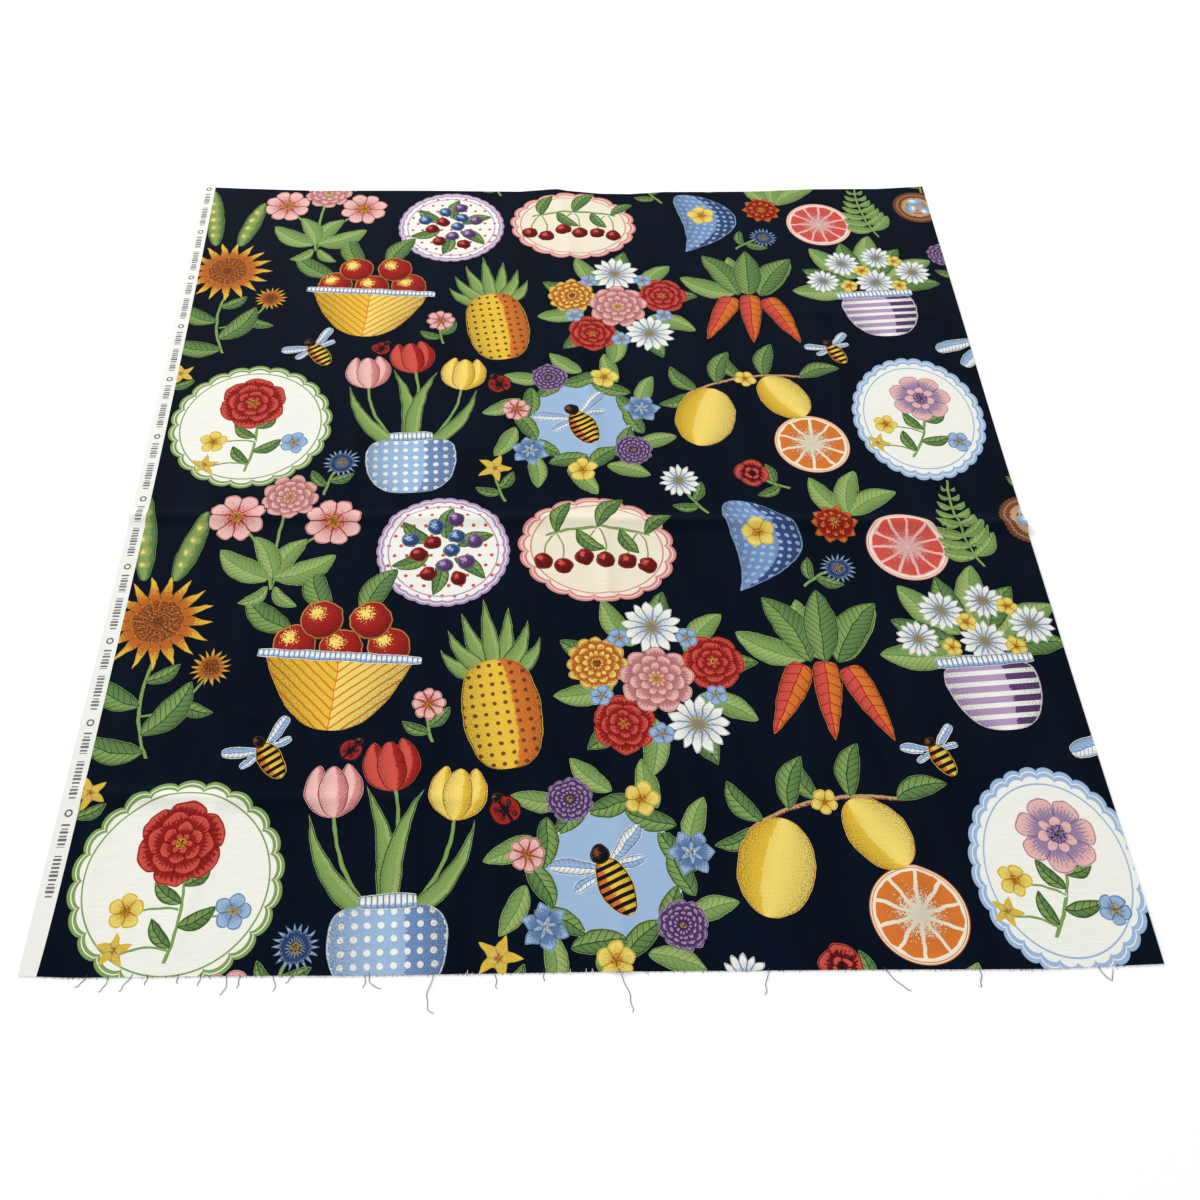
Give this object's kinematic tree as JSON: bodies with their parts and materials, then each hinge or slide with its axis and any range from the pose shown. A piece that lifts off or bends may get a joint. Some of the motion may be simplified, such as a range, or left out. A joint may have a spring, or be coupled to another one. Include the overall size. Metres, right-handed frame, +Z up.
{
  "type": "fabric remnant",
  "caption": "Cut length of printed woven cotton laid flat, with a white selvedge on one side, pressed-in folds and loose threads on the near cut edge.",
  "frame": {"origin": "under the middle of the cloth's whole extent, on the surface that it lies on", "axes": "+X along the near cut edge, away from the selvedge; +Y along the selvedge, away from the frayed edge; +Z up"},
  "size_m": [0.5824, 0.6366, 0.0043],
  "materials": {
    "printed_cotton": "matt printed plain-weave cotton, dark navy ground with a many-coloured floral print",
    "selvedge_cotton": "matt unprinted white plain-weave cotton",
    "loose_thread": "matt dark cotton yarn"
  },
  "bodies": {
    "root": {"printed_cloth": "printed_cotton", "selvedge_band": "selvedge_cotton", "frayed_edge": "loose_thread"}
  },
  "joints": []
}
